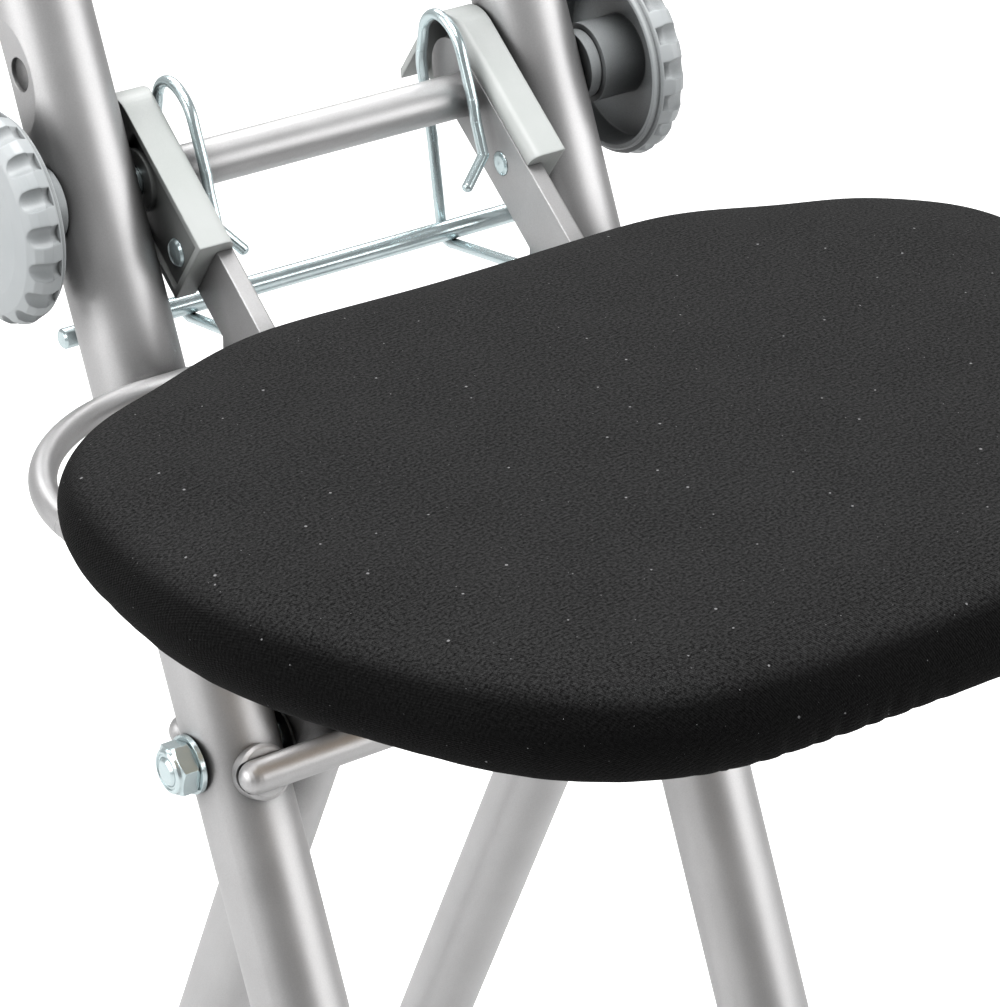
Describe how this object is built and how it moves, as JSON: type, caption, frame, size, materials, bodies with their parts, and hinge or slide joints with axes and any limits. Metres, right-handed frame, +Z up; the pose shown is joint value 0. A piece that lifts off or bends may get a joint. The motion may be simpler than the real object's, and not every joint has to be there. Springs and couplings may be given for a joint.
{
  "type": "folding chair",
  "caption": "Folding sit-stand chair on crossed silver tube legs with a black padded seat, screw knobs, wire latch and backrest",
  "frame": {"origin": "on the floor, under the middle of the unfolded chair's box", "axes": "+X to the chair's left-right, +Y to its rear, +Z up; the seat faces -Y"},
  "size_m": [0.402, 0.4348, 0.9716],
  "materials": {
    "silver_paint": "satin",
    "zinc": "bright zinc",
    "black_plastic": "matt",
    "grey_plastic": "fine grain",
    "pale_plastic": "fine grain",
    "black_fabric": "fine knit",
    "board": "raw plywood"
  },
  "bodies": {
    "post_frame": {"post_left": "silver_paint", "post_right": "silver_paint", "front_foot_bar": "silver_paint", "front_foot_caps": "black_plastic", "front_stop_rod": "silver_paint", "rear_stop_rod": "silver_paint", "stop_rod_bosses": "silver_paint", "pivot_bolts": "zinc", "pivot_nuts": "zinc", "pivot_washers": "zinc", "pivot_spacers": "black_plastic", "post_plugs": "black_plastic", "knob_washers": "grey_plastic", "backrest_board": "board", "backrest_cushion": "black_fabric", "backrest_screws": "zinc"},
    "rear_leg_frame": {"rear_leg_left": "silver_paint", "rear_leg_right": "silver_paint", "rear_foot_bar": "silver_paint", "rear_foot_caps": "black_plastic", "rear_leg_plugs": "black_plastic", "pivot_bushes": "black_plastic"},
    "seat": {"crossbar": "silver_paint", "arm_left": "silver_paint", "arm_right": "silver_paint", "catch_left": "pale_plastic", "catch_right": "pale_plastic", "catch_rivets": "zinc", "seat_loop": "silver_paint", "seat_tabs": "silver_paint", "seat_board": "board", "seat_screws": "zinc", "seat_cushion": "black_fabric"},
    "knob_set_left": {"knob_left": "grey_plastic", "knob_screw_left": "zinc"},
    "knob_set_right": {"knob_right": "grey_plastic", "knob_screw_right": "zinc"},
    "latch": {"latch_rod": "zinc", "latch_hook_left": "zinc", "latch_hook_right": "zinc"}
  },
  "joints": [
    {"name": "legs_fold", "type": "hinge", "parent": "post_frame", "child": "rear_leg_frame", "pos_m": [0, -0.00765, 0.43], "axis": [-1, 0, 0], "range_deg": [0, 45.5]},
    {"name": "seat_fold", "type": "hinge", "parent": "post_frame", "child": "seat", "pos_m": [0, 0.05489, 0.56413], "axis": [-1, 0, 0], "range_deg": [0, 110]},
    {"name": "latch_swing", "type": "hinge", "parent": "post_frame", "child": "latch", "pos_m": [0, 0.05489, 0.56413], "axis": [1, 0, 0], "range_deg": [0, 25]},
    {"name": "knob_turn_left", "type": "hinge", "parent": "post_frame", "child": "knob_set_left", "pos_m": [0, 0.05489, 0.56413], "axis": [-1, 0, 0], "continuous": true},
    {"name": "knob_turn_right", "type": "hinge", "parent": "post_frame", "child": "knob_set_right", "pos_m": [0, 0.05489, 0.56413], "axis": [1, 0, 0], "continuous": true}
  ]
}
